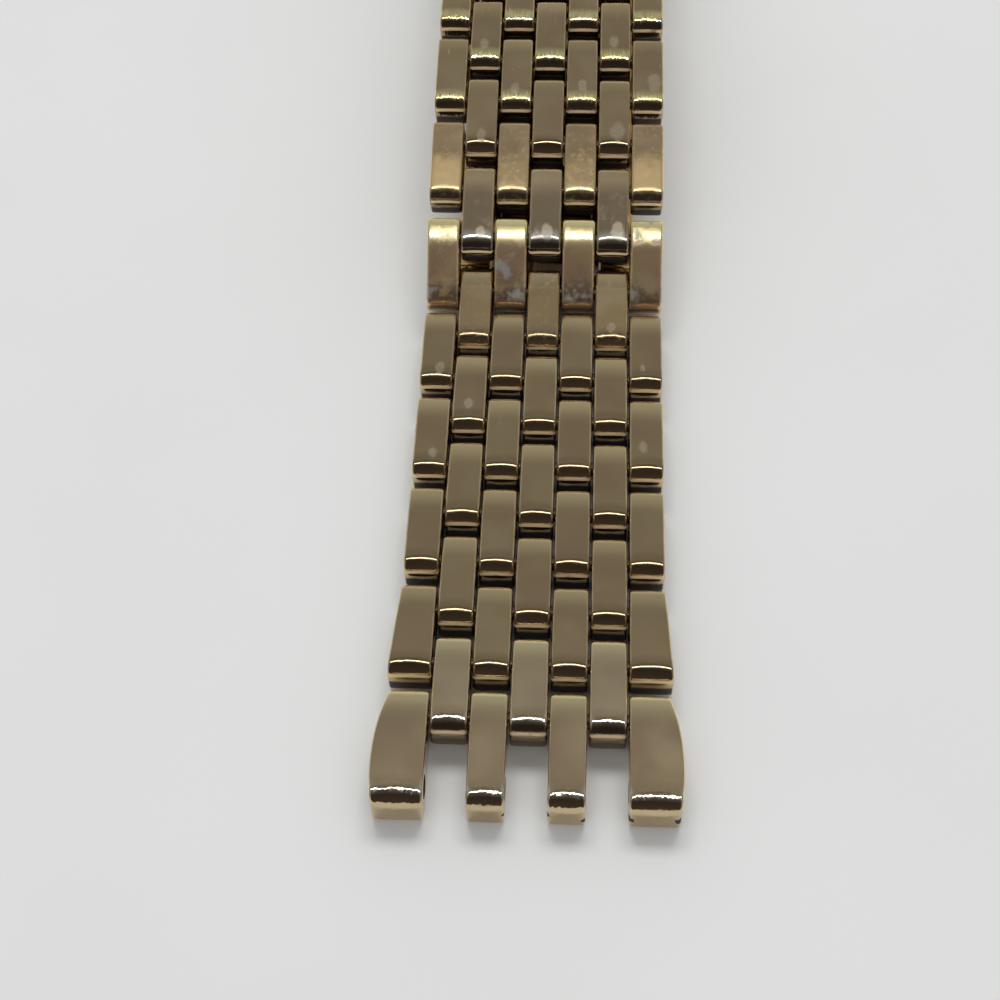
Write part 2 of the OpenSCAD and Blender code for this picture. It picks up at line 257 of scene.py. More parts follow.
class Graph:
    """Adds nodes to one node tree and joins them."""

    def __init__(self, tree: NodeTree) -> None:
        """Keeps the tree to add to."""
        self.tree = tree

    def feed(self, socket: Socket, value: Value) -> None:
        """Links a socket to an output, or sets its number or colour.

        Args:
            socket: The input to feed.
            value: An output socket, or a plain value.
        """
        if isinstance(value, Socket):
            self.tree.links.new(value, socket)
        elif isinstance(value, tuple) and len(value) == 3 and socket.type == "RGBA":
            socket.default_value = (*value, 1.0)
        else:
            socket.default_value = value

    def add(self, kind: str, inputs: dict[str | int, Value] | None = None, **settings: object
            ) -> bpy.types.Node:
        """Adds a node.

        Args:
            kind: The node's type name.
            inputs: What goes into its sockets, by name or number.
            settings: Its properties.

        Returns:
            The new node.
        """
        node = self.tree.nodes.new(kind)
        for name, value in settings.items():
            setattr(node, name, value)
        for name, value in (inputs or {}).items():
            self.feed(node.inputs[name], value)
        return node

    def math(self, operation: str, a: Value, b: Value = 0.0, clamp: bool = False) -> Socket:
        """One step of arithmetic, such as DIVIDE or SQRT, on one or two numbers."""
        return self.add("ShaderNodeMath", {0: a, 1: b}, operation=operation, use_clamp=clamp).outputs[0]

    def times(self, *factors: Value) -> Socket:
        """The product of two or more numbers."""
        return reduce(lambda a, b: self.math("MULTIPLY", a, b), factors)

    def plus(self, *terms: Value) -> Socket:
        """The sum of two or more numbers."""
        return reduce(lambda a, b: self.math("ADD", a, b), terms)

    def minus(self, a: Value, b: Value) -> Socket:
        """The first number less the second."""
        return self.math("SUBTRACT", a, b)

    def band(self, value: Value, low: Value, high: Value, out: Pair = (0.0, 1.0)) -> Socket:
        """A smooth rise.

        Args:
            value: What it follows.
            low: Where the rise starts.
            high: Where it ends, which may lie under low.
            out: What it gives up to the start and from the end.

        Returns:
            The number that rises.
        """
        return self.add("ShaderNodeMapRange", {
            "Value": value, "From Min": low, "From Max": high, "To Min": out[0], "To Max": out[1]
        }, interpolation_type="SMOOTHSTEP").outputs["Result"]

    def noise(self, vector: Value, scale: Value, detail: float = 2.0, roughness: float = 0.5) -> Socket:
        """Soft noise, from about 0.2 to 0.8, with the given number of waves per metre."""
        return self.add("ShaderNodeTexNoise", {"Vector": vector, "Scale": scale, "Detail": detail,
                        "Roughness": roughness}).outputs[0]

    def blend(self, factor: Value, a: Value, b: Value) -> Socket:
        """A colour that goes from a to b as the factor goes from 0 to 1."""
        return self.add("ShaderNodeMix", {"Factor": factor, 6: a, 7: b}, data_type="RGBA").outputs[2]

    def parts(self, vector: Value) -> list[Socket]:
        """The three numbers of a vector."""
        return self.add("ShaderNodeSeparateXYZ", {0: vector}).outputs[:3]

    def vector(self, *parts: Value) -> Socket:
        """A vector of up to three numbers."""
        return self.add("ShaderNodeCombineXYZ", dict(enumerate(parts))).outputs[0]

    def moved(self, vector: Value, step: Value) -> Socket:
        """The sum of two vectors."""
        return self.add("ShaderNodeVectorMath", {0: vector, 1: step}, operation="ADD").outputs[0]

    def mapped(self, vector: Value, stretch: tuple[float, float, float], turn: float = 0.0) -> Socket:
        """A vector stretched, and then turned about Z."""
        return self.add("ShaderNodeMapping", {"Vector": vector, "Rotation": (0.0, 0.0, turn),
                        "Scale": stretch}).outputs[0]

    def bump(self, height: Value, distance: float, normal: Socket | None = None) -> Socket:
        """A normal that follows a height.

        Args:
            height: The height, without a unit.
            distance: How many metres one of it is.
            normal: The normal of what lies under it, if not the surface's.

        Returns:
            The normal.
        """
        under = {} if normal is None else {"Normal": normal}
        return self.add("ShaderNodeBump", {"Height": height, "Distance": distance, "Strength": 1.0,
                        **under}).outputs[0]

    def attribute(self, name: str, output: str = "Fac") -> Socket:
        """Reads a named attribute of the mesh."""
        return self.add("ShaderNodeAttribute", attribute_name=name).outputs[output]

    def link_place(self) -> list[Socket]:
        """Place on the link, in millimetres from its inner pin: across, along and up."""
        return self.parts(self.attribute("link_uv", "Vector"))


class EffectGroup:
    """A shader node group with named inputs and outputs, built once and placed in many materials."""

    def __init__(self, name: str, inputs: dict[str, float], outputs: tuple[str, ...]) -> None:
        """Makes the empty group.

        Args:
            name: The group's name.
            inputs: Names of the number inputs and their defaults; a Vector input is always there.
            outputs: Names of the number outputs.
        """
        self.tree = bpy.data.node_groups.new(name, "ShaderNodeTree")
        sockets = self.tree.interface
        sockets.new_socket("Vector", in_out="INPUT", socket_type="NodeSocketVector")
        for label, value in inputs.items():
            sockets.new_socket(label, in_out="INPUT", socket_type="NodeSocketFloat").default_value = value
        for label in outputs:
            sockets.new_socket(label, in_out="OUTPUT", socket_type="NodeSocketFloat")
        self.graph = Graph(self.tree)
        self.given = self.tree.nodes.new("NodeGroupInput").outputs
        self.sink = self.tree.nodes.new("NodeGroupOutput").inputs

    def give(self, **outputs: Socket) -> "EffectGroup":
        """Feeds the group's outputs.

        Args:
            outputs: A value for each output.

        Returns:
            The group itself.
        """
        for label, value in outputs.items():
            self.graph.feed(self.sink[label], value)
        return self

    def place(self, graph: Graph, vector: Socket, **values: float) -> bpy.types.NodeOutputs:
        """Adds the group to a material, on these coordinates, and gives its outputs."""
        return graph.add("ShaderNodeGroup", {"Vector": vector, **values}, node_tree=self.tree).outputs


class Effects:
    """The effects that the strap's finishes share."""

    # Turn and stretch of each run of scratches.
    SCRATCH_RUNS = ((0.5, (1500.0, 130.0, 130.0)), (-0.9, (110.0, 1300.0, 110.0)))
    HAZE_SHIFT = (0.3, 0.1, 0.7)

    def __init__(self) -> None:
        """Builds every group."""
        self.scratches = self._scratches()
        self.clouds = self._clouds()
        self.drops = self._drops()
        self.worn_rim = self._worn_rim()
        self.tarnish = self._tarnish()
        self.soot = self._soot()

    def _scratches(self) -> EffectGroup:
        """Fine hairlines in two directions, thin where a stretched noise crosses its middle.

        Returns:
            The group.
        """
        inputs = {"Amount": 1.0, "Width": 0.012, "Patch Scale": 260.0}
        group = EffectGroup("Fine scratches", inputs, ("Mask",))
        g, given = group.graph, group.given
        lines = []
        for turn, stretch in self.SCRATCH_RUNS:
            wave = g.noise(g.mapped(given["Vector"], stretch, turn), 1.0, 1.0)
            away = g.math("ABSOLUTE", g.minus(wave, 0.5))
            lines.append(g.math("SUBTRACT", 1.0, g.math("DIVIDE", away, given["Width"]), clamp=True))
        patchy = g.band(g.noise(given["Vector"], given["Patch Scale"]), 0.5, 0.66)
        return group.give(Mask=g.times(g.math("MAXIMUM", *lines), patchy, given["Amount"]))

    def _clouds(self) -> EffectGroup:
        """Soft stains a few millimetres wide, with a finer mottle in them.

        Returns:
            The group.
        """
        inputs = {"Amount": 1.0, "Scale": 210.0, "Fine Scale": 2200.0}
        group = EffectGroup("Clouding", inputs, ("Mask", "Mottle"))
        g, given = group.graph, group.given
        broad = g.band(g.noise(given["Vector"], given["Scale"]), 0.4, 0.62)
        mottle = g.noise(given["Vector"], given["Fine Scale"], 3.0, 0.6)
        return group.give(Mask=g.times(broad, given["Amount"]), Mottle=mottle)

    def _drops(self) -> EffectGroup:
        """A dried drop on the link's top, where the link's own spot attribute puts it.

        Returns:
            The group.
        """
        inputs = {"Amount": 1.0, "Narrowing": 0.62, "Edge Scale": 1500.0, "Least Size": 0.01}
        group = EffectGroup("Dried drops", inputs, ("Mask",))
        g, given = group.graph, group.given
        x, y, z = g.link_place()
        spot_x, spot_y, spot_size = g.parts(g.attribute("link_spot", "Vector"))
        size = g.math("MAXIMUM", spot_size, given["Least Size"])
        ragged = g.minus(g.noise(given["Vector"], given["Edge Scale"]), 0.5)
        dx = g.math("DIVIDE", g.minus(x, spot_x), g.times(size, given["Narrowing"]))
        dy = g.math("DIVIDE", g.minus(y, spot_y), size)
        away = g.plus(g.math("SQRT", g.plus(g.times(dx, dx), g.times(dy, dy))), ragged)
        is_there = g.math("GREATER_THAN", spot_size, g.times(given["Least Size"], 2.0))
        on_top = g.math("GREATER_THAN", z, DROP_FOOT)
        return group.give(Mask=g.times(g.band(away, 1.15, 0.6), is_there, on_top, given["Amount"]))

    def _worn_rim(self) -> EffectGroup:
        """Plating rubbed along the softened edges, in broken runs.

        Returns:
            The group.
        """
        group = EffectGroup("Rubbed edges", {"Amount": 1.0, "Scale": 900.0}, ("Mask",))
        g, given = group.graph, group.given
        broken = g.band(g.noise(given["Vector"], given["Scale"], 3.0, 0.6), 0.38, 0.62)
        return group.give(Mask=g.times(g.attribute("rim"), broken, given["Amount"]))

    def _tarnish(self) -> EffectGroup:
        """Plating that has gone: brown and silver blotches that grow towards a link's outer end.

        Returns:
            The group.
        """
        inputs = {"Start": 1.0, "End": 5.0, "Scale": 900.0, "Wide Scale": 420.0, "Haze Scale": 520.0}
        group = EffectGroup("Tarnish", inputs, ("Brown", "Silver", "Haze"))
        g, given = group.graph, group.given
        along = g.link_place()[1]
        grow = g.band(along, given["Start"], given["End"])
        wide = g.noise(given["Vector"], given["Wide Scale"], 3.0, 0.55)
        fine = g.noise(given["Vector"], given["Scale"], 5.0, 0.7)
        level = g.plus(g.times(wide, 0.45), g.times(fine, 0.55))
        brown = g.band(g.plus(level, g.times(grow, 0.30)), 0.50, 0.66)
        silver = g.band(g.plus(level, g.times(grow, 0.16)), 0.56, 0.66)
        elsewhere = g.moved(given["Vector"], self.HAZE_SHIFT)
        haze = g.times(g.band(g.noise(elsewhere, given["Haze Scale"], 3.0, 0.6), 0.52, 0.66), grow)
        short = g.band(along, *TARNISH_STOP)
        masks = {"Brown": brown, "Silver": silver, "Haze": haze}
        return group.give(**{label: g.times(mask, short) for label, mask in masks.items()})

    def _soot(self) -> EffectGroup:
        """Painted shade low between the rows, and a painted reflection line where each nose turns down into
        it.

        Returns:
            The group.
        """
        # The group paints shade and a reflection line between the rows.
        group = EffectGroup("Dirt between rows", {"Amount": 1.0, "Scale": 1100.0}, ("Mask", "Line"))
        g, given = group.graph, group.given
        up = g.link_place()[2]
        here = g.times(g.attribute("grime"), given["Amount"])
        uneven = g.times(g.minus(g.noise(given["Vector"], given["Scale"]), 0.5), 0.3)
        level = g.plus(up, uneven)
        mask = g.times(g.band(level, *GAP_SHADE_TOP), g.band(level, *GAP_SHADE_FOOT), here)
        line = g.times(g.band(up, *LINE_FOOT), g.band(up, *LINE_TOP), g.attribute("nose"),
                       g.band(uneven, -0.13, -0.03), here)
        return group.give(Mask=mask, Line=line)


class Coat:
    """A material whose colour, roughness and metal build up in layers."""

    def __init__(self, name: str, color: Color, metal: float = 1.0) -> None:
        """Starts the material.

        Args:
            name: Its name.
            color: The lowest layer's colour.
            metal: How metallic that layer is.
        """
        self.material = bpy.data.materials.new(name)
        self.material.use_nodes = True
        self.material.node_tree.nodes.clear()
        self.graph = Graph(self.material.node_tree)
        self.place = self.graph.add("ShaderNodeTexCoord").outputs["Object"]
        self.color: Value = color
        self.metal: Value = metal
        self.rough: Value = 0.0

    def mottle_rough(self, mottle: Socket, mean: float, spread: float) -> None:
        """Sets the lowest layer's roughness, which a mottle from 0 to 1 makes uneven."""
        self.rough = self.graph.plus(self.graph.times(mottle, spread), mean - spread/2)

    def lay(self, mask: Socket, color: Value | None = None, rough: float = 0.0, metal: float = 0.0) -> None:
        """Lays one more layer.

        Args:
            mask: Where it shows, from 0 to 1.
            color: Its colour, or None to leave the colour.
            rough: What it adds to the roughness.
            metal: What it takes from the metal.
        """
        g = self.graph
        if color is not None:
            self.color = g.blend(mask, self.color, color)
        if rough:
            self.rough = g.math("ADD", self.rough, g.times(mask, rough), clamp=True)
        if metal:
            self.metal = g.math("SUBTRACT", self.metal, g.times(mask, metal), clamp=True)

    def finish(self, normal: Socket) -> Material:
        """Joins the layers to the shader.

        Args:
            normal: The surface's normal.

        Returns:
            The finished material.
        """
        g = self.graph
        shader = g.add("ShaderNodeBsdfPrincipled", {"Base Color": self.color, "Metallic": self.metal,
                       "Roughness": self.rough, "Normal": normal})
        g.add("ShaderNodeOutputMaterial", {"Surface": shader.outputs[0]})
        return self.material


@dataclass(frozen=True)
class Plating:
    """A gold-toned plated finish."""

    name: str
    gold: Color = (0.64, 0.49, 0.29)  # colour of sound plating
    stain: Color = (0.52, 0.37, 0.24)  # colour of its soft stains
    staining: float = 0.45  # how strong the stains are
    far_gold: Color = (0.80, 0.64, 0.39)  # colour of the paler patches, and of the painted sheen towards a link's inner end
    far_blend: float = 1.0  # how much of that painted sheen shows at the inner end
    rubbed: Color = (0.80, 0.67, 0.44)  # colour where the edges are rubbed
    rubbing: float = 0.6  # how much of the edges is rubbed
    roughness: float = 0.11
    dents: float = 9.0  # height of the small dents that break up highlights, in micrometres
    grain: Pair = (2300.0, 2300.0)  # how many dents lie across and along a metre
    nose_gold: Color = (0.74, 0.58, 0.36)  # colour of the rounded outer ends
    nose_blend: float = 0.5  # how much of that colour shows there
    nose_rough: float = 0.0  # how much rougher the upper half of the nose is
    glint: Color = (0.47, 0.355, 0.21)  # colour of the upper half of the nose, a painted highlight where it mirrors the lamp
    glint_top: float = 2.0  # where that half ends, in millimetres above the link's middle
    shade: float = 0.0  # how strong the painted shade on the lower part of the nose is
    shade_top: float = 1.27  # where that part starts, measured in the same way
    patches: float = 0.0  # strength of bright golden patches that grow towards the outer end: rougher wear with a painted glow of the lamp
    tarnish: float = 0.0  # strength of brown and silver blotches
    # Where along a link the blotches start to grow, in millimetres from its inner pin.
    tarnish_start: float = 1.5
    haze: float = 0.0  # strength of white smudges
    speckle: float = 0.0  # strength of small bright specks
    far_bend: float = 0.0  # how steeply the inner end is worn down
    film: float = 0.0  # share of the surface under a dull film
    streaks: float = 0.0  # strength of lengthwise scuffs that run into the nose: rougher, and coloured with a painted highlight
    # Places of black dirt on the piece and their radii, in millimetres.
    specks: tuple[tuple[float, float, float, float], ...] = ()
    glitter: Color = (0.92, 0.68, 0.34)  # colour of the bright specks, and of the patches with their painted glow

    def make(self, effects: Effects) -> Material:
        """Builds the material with the shared effect groups."""
        return PlatedCoat(self, effects).build()


class PlatedCoat(Coat):
    """A plating's coat, which knows where it is on its link and lies differently on each link."""

    TONE_SHIFT = 3.7
    LIGHT_SCALE = 300.0
    GRAIN_SCALE = 900.0
    COMB = (6500.0, 650.0, 650.0)
    SPECK_SCALE = 2200.0
    SPECK_EDGE = 1.6
    WAVE_SCALE = 330.0
    WAVE_HEIGHT = 14*MICRON
    TARNISH_LENGTH = 4.0
    SCRATCHING = 0.35
    DRIED_STRENGTH = 0.36

    def __init__(self, plating: Plating, effects: Effects) -> None:
        """Starts the material, as a plain coat, and reads the link's attributes.

        Args:
            plating: The finish.
            effects: The shared effect groups.
        """
        super().__init__(plating.name, plating.gold, 1.0 - plating.film)
        self.plating = plating
        self.effects = effects
        self.mottle: Value = 0.0
        self.haze: Value = 0.0
        self.scratches: Value = 0.0
        g = self.graph
        self.tone = g.attribute("link_tone")
        self.own = g.moved(self.place, g.vector(self.tone, g.times(self.tone, self.TONE_SHIFT), self.tone))
        self.along, self.up = g.link_place()[1:]
        self.nose = g.attribute("nose")

    def build(self) -> Material:
        """Lays every layer in order.

        Returns:
            The finished material.
        """
        self.lay_gold()
        self.tint_nose()
        self.lay_bright()
        if self.plating.tarnish > 0:
            self.lay_tarnish()
        self.rub()
        self.soil()
        return self.finish(self.relief())

    def lay_gold(self) -> None:
        """Lays sound plating with soft stains and paler patches, and a painted sheen towards the link's inner
        end.
        """
        g, f = self.graph, self.plating
        clouds = self.effects.clouds.place(g, self.own, Amount=f.staining)
        self.mottle_rough(clouds["Mottle"], f.roughness, 0.06)
        self.lay(clouds["Mask"], f.stain, rough=0.06)
        light = g.band(g.noise(self.own, self.LIGHT_SCALE, 1.0), 0.45, 0.7)
        self.lay(g.times(light, f.staining), f.far_gold)
        self.lay(g.times(self.tone, 0.3), f.stain)
        # Painted sheen towards the link's inner end.
        self.lay(g.times(g.band(self.along, *INNER_SHEEN), f.far_blend), f.far_gold)
        self.mottle = clouds["Mottle"]

    def tint_nose(self) -> None:
        """Colours the nose: a painted highlight on its upper half, which mirrors the lamp, and painted shade
        on the part below.
        """
        g, f, up = self.graph, self.plating, self.up
        top = f.shade_top
        self.lay(g.times(self.nose, f.nose_blend), f.nose_gold)
        upper = g.times(self.nose, g.band(up, top - 0.02, top + 0.05),
                        g.band(up, f.glint_top + 0.03, f.glint_top))
        # Painted highlight on the upper nose.
        self.lay(upper, f.glint, rough=f.nose_rough)
        # Painted shade on the lower nose.
        if f.shade > 0:
            self.lay(g.times(self.nose, g.band(up, top, top - 0.12), f.shade), PAINTED_NOSE_SHADE)

    def lay_bright(self) -> None:
        """Lays the bright marks that the finish has: specks, rough patches with a painted glow of the lamp,
        and scuffs with a painted highlight.
        """
        g, f = self.graph, self.plating
        own, along = self.own, self.along
        if f.speckle > 0:
            self.lay(g.times(g.band(self.mottle, 0.52, 0.66), f.speckle), f.glitter, rough=0.3)
        if f.patches > 0:
            # Rough patches with a painted glow of the lamp, strongest at the outer end.
            spread = g.times(g.band(along, *PATCH_RISE), 0.7)
            grainy = g.times(g.noise(own, self.GRAIN_SCALE, 3.0, 0.6), 0.5)
            aside = g.math("ABSOLUTE", g.parts(self.place)[0])
            outer = g.band(aside, 4.5*MM, 6.5*MM, (0.6, 1.0))
            patch_and_glow = g.band(g.plus(grainy, spread), 0.35, 0.85)
            patch_and_glow = g.times(patch_and_glow, f.patches, outer, g.band(along, *PATCH_STOP))
            self.lay(patch_and_glow, f.glitter, rough=0.2)
        if f.streaks > 0:
            comb = g.mapped(own, self.COMB)
            reach = g.times(g.band(along, *STREAK_RISE), 0.36)
            scuff_and_glint = g.band(g.plus(g.noise(comb, 1.0), reach), 0.66, 0.84)
            # The scuffs are rougher and carry the painted highlight colour.
            self.lay(g.times(scuff_and_glint, f.streaks, g.band(along, *STREAK_STOP)), f.glint, rough=0.26)

    def lay_tarnish(self) -> None:
        """Lays the brown and silver blotches where the plating has gone."""
        g, f = self.graph, self.plating
        end = f.tarnish_start + self.TARNISH_LENGTH
        gone = self.effects.tarnish.place(g, self.own, Start=f.tarnish_start, End=end)
        strength = g.band(self.along, *BROWN_RISE, (0.1*f.tarnish, f.tarnish))
        self.lay(g.times(gone["Brown"], strength), GONE_BROWN)
        self.lay(gone["Brown"], rough=0.25*f.tarnish)
        self.lay(g.times(gone["Silver"], f.tarnish), GONE_SILVER, rough=0.12)
        self.haze = g.times(gone["Haze"], f.haze)

    def rub(self) -> None:
        """Lays rubbed edges and fine scratches."""
        g, f = self.graph, self.plating
        self.lay(self.effects.worn_rim.place(g, self.own, Amount=f.rubbing)["Mask"], f.rubbed)
        self.scratches = self.effects.scratches.place(g, self.own, Amount=self.SCRATCHING)["Mask"]
        self.lay(g.times(self.scratches, 0.2), f.rubbed, rough=1.0)

    def soil(self) -> None:
        """Lays dried drops and haze, the painted shade between the rows with its painted reflection line, and
        the black dirt.
        """
        g, f = self.graph, self.plating
        drops = self.effects.drops.place(g, self.own, Amount=self.DRIED_STRENGTH)["Mask"]
        self.lay(g.math("MAXIMUM", drops, self.haze), DRIED_PALE, rough=0.4, metal=0.75)
        # Painted shade between the rows and the painted reflection line on each nose.
        dirt = self.effects.soot.place(g, self.own)
        # Painted reflection line on each nose.
        self.lay(dirt["Line"], PAINTED_REFLECTION_LINE, rough=0.35, metal=0.85)
        if f.specks:
            self.lay(self.speck_mask(), BLACK_DIRT, rough=0.5, metal=0.9)
        # Painted shade low between the rows.
        self.lay(dirt["Mask"], PAINTED_GAP_SHADE, rough=0.3, metal=0.5)

    def speck_mask(self) -> Socket:
        """Where the black dirt is.

        Returns:
            The mask.
        """
        g, f = self.graph, self.plating
        ragged = g.times(g.minus(g.noise(self.own, self.SPECK_SCALE, 3.0), 0.5), self.SPECK_EDGE)
        mask: Value = 0.0
        for x, y, z, radius in f.specks:
            away = g.add("ShaderNodeVectorMath", {0: self.place, 1: (x*MM, y*MM, z*MM)}, operation="DISTANCE")
            share = g.math("DIVIDE", away.outputs["Value"], radius*MM)
            mask = g.math("MAXIMUM", mask, g.band(g.plus(share, ragged), 1.05, 0.85))
        return mask

    def relief(self) -> Socket:
        """The fine relief: the worn inner end, soft waves, dents that are strongest on the nose.

        Returns:
            The normal.
        """
        g, f = self.graph, self.plating
        across, lengthwise = f.grain
        dents = g.noise(g.mapped(self.own, (across, lengthwise, lengthwise)), 1.0, 1.0)
        dents = g.times(dents, g.plus(g.times(self.nose, 0.94), 0.06))
        turned = g.math("MAXIMUM", g.minus(BEND_START, self.along), 0.0)
        turned = g.math("DIVIDE", g.times(turned, turned), g.plus(turned, 0.5))
        normal = g.bump(g.times(turned, -f.far_bend), MM)
        normal = g.bump(g.noise(self.own, self.WAVE_SCALE, 1.0), self.WAVE_HEIGHT, normal)
        normal = g.bump(dents, f.dents*MICRON, normal)
        return g.bump(self.scratches, -MICRON, normal)


FINISHES = {
    Wear.KEPT: Plating(
        "Plating, kept", far_gold=(0.72, 0.575, 0.35), grain=(1700.0, 1700.0), nose_gold=(0.62, 0.47, 0.28)),
    Wear.BRIGHT: Plating(
        "Plating, bright", gold=(0.74, 0.57, 0.35), stain=(0.56, 0.40, 0.28), far_gold=(0.97, 0.82, 0.50),
        dents=34.0, grain=(4200.0, 2400.0), nose_gold=(0.62, 0.49, 0.30), nose_blend=0.8,
        glint=(1.0, 0.93, 0.76), glint_top=1.40, specks=FINGER_SPECKS),
    Wear.PALE: Plating(
        "Plating, pale", gold=(0.82, 0.66, 0.43), stain=(0.66, 0.50, 0.34), far_gold=(0.92, 0.78, 0.50),
        dents=24.0, grain=(3600.0, 2200.0), glint=(0.97, 0.88, 0.70), glint_top=1.40,
        nose_gold=(0.60, 0.47, 0.29), nose_blend=0.8, shade=0.6),
    Wear.SPECKLED: Plating(
        "Plating, speckled", gold=(0.70, 0.52, 0.27), far_gold=(0.95, 0.78, 0.5), far_blend=0.8,
        speckle=0.3, roughness=0.16, far_bend=-0.25),
    Wear.TARNISHED: Plating(
        "Plating, tarnished", gold=(0.98, 0.66, 0.38), tarnish=0.9, haze=1.0, tarnish_start=2.2,
        far_gold=(1.0, 0.88, 0.46), nose_blend=0.0, roughness=0.15, dents=10.0, far_bend=0.222,
        glint=(0.70, 0.45, 0.25), film=0.26, shade=0.5),
    Wear.SILVERED: Plating(
        "Plating, silvered", gold=(0.75, 0.60, 0.40), tarnish=0.35, tarnish_start=3.4, haze=0.25,
        far_blend=0.5, nose_gold=(0.50, 0.42, 0.31), nose_blend=0.9, nose_rough=0.05, dents=10.0,
        glint=(1.0, 0.94, 0.84), film=0.08, shade=0.9, shade_top=1.38),
    Wear.BRASSY: Plating(
        "Plating, brassy", gold=(0.76, 0.57, 0.33), patches=1.0, far_blend=0.0, speckle=0.3,
        glitter=(1.0, 0.74, 0.38), nose_gold=(0.84, 0.64, 0.34), nose_blend=0.6, roughness=0.13,
        nose_rough=0.04, dents=14.0, glint=(1.0, 0.90, 0.50), film=0.09, shade=0.85, shade_top=1.38),
    Wear.RAGGED: Plating(
        "Plating, ragged", far_blend=0.0, dents=40.0, grain=(5200.0, 2000.0), nose_gold=(0.80, 0.64, 0.38),
        nose_blend=0.7, nose_rough=0.02, streaks=1.0, glint=(1.0, 0.88, 0.46), shade=0.6, shade_top=1.3),
}


@dataclass(frozen=True)
class Steel:
    """Plain bright metal for what is hidden: springs and pins."""

    name: str
    color: Color
    roughness: float  # its mean roughness
    wear: float = 0.5  # how strong its stains and scratches are
    stain_level: float = 0.6  # how bright the stains are beside the metal

    def make(self, effects: Effects) -> Material:
        """Builds the material.

        Args:
            effects: The shared effect groups.

        Returns:
            The new material.
        """
        coat = Coat(self.name, self.color)
        g = coat.graph
        clouds = effects.clouds.place(g, coat.place, Amount=self.wear)
        marks = effects.scratches.place(g, coat.place, Amount=self.wear)["Mask"]
        coat.mottle_rough(clouds["Mottle"], self.roughness, 0.2)
        coat.lay(clouds["Mask"], tuple(self.stain_level*c for c in self.color))
        return coat.finish(g.bump(marks, -MICRON))


